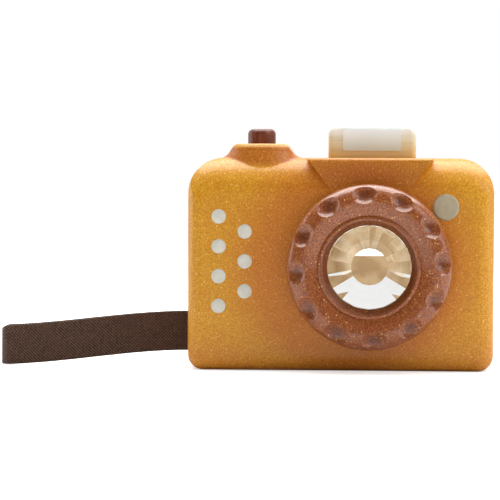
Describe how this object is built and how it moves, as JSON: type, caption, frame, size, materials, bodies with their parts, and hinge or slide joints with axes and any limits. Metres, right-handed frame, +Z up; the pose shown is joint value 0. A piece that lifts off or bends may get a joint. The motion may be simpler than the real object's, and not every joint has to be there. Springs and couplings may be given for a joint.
{
  "type": "toy camera",
  "caption": "Toy camera with a soft-edged body, a dimpled ring that turns a faceted see-through lens, a sprung shutter button, a viewfinder block and a wrist strap loop.",
  "frame": {"origin": "middle of the flat foot that the camera stands on, at the seam between the two shells", "axes": "+Z up, +X to the right as the front is seen, +Y from the lens to the back"},
  "size_m": [0.1878, 0.0573, 0.0926],
  "materials": {
    "body_wood": "speckled pressed wood, gloss lacquer",
    "ring_wood": "speckled pressed wood, gloss lacquer",
    "natural_wood": "bare",
    "dark_wood": "stained and lacquered",
    "cream_wood": "painted satin",
    "dot_paint": "painted satin",
    "lamp_paint": "painted satin",
    "panel_film": "gloss",
    "clear_acrylic": "clear",
    "strap_webbing": "woven",
    "spring_steel": "drawn wire"
  },
  "bodies": {
    "camera_body": {"front_shell": "body_wood", "rear_shell": "body_wood", "shell_pegs": "natural_wood", "viewing_sleeve": "natural_wood", "button_spring": "spring_steel", "viewfinder_block": "cream_wood", "block_pegs": "natural_wood", "flash_panel": "panel_film", "grip_dot_1": "dot_paint", "grip_dot_2": "dot_paint", "grip_dot_3": "dot_paint", "grip_dot_4": "dot_paint", "grip_dot_5": "dot_paint", "grip_dot_6": "dot_paint", "grip_dot_7": "dot_paint", "lamp_disc": "lamp_paint", "wrist_strap": "strap_webbing", "strap_pin": "natural_wood"},
    "lens_unit": {"lens_ring": "ring_wood", "kaleidoscope_lens": "clear_acrylic", "lens_retainer": "ring_wood", "hub_collar": "natural_wood"},
    "shutter": {"shutter_button": "dark_wood", "button_stop": "natural_wood"}
  },
  "joints": [
    {"name": "lens_turn", "type": "hinge", "parent": "camera_body", "child": "lens_unit", "pos_m": [0.011, -0.021, 0.0395], "axis": [0, -1, 0], "continuous": true},
    {"name": "button_press", "type": "slide", "parent": "camera_body", "child": "shutter", "axis": [0, 0, -1], "range_m": [0, 0.0035], "stiffness_N_per_m": 300, "springref_m": -0.004, "deforming": ["button_spring"]}
  ]
}
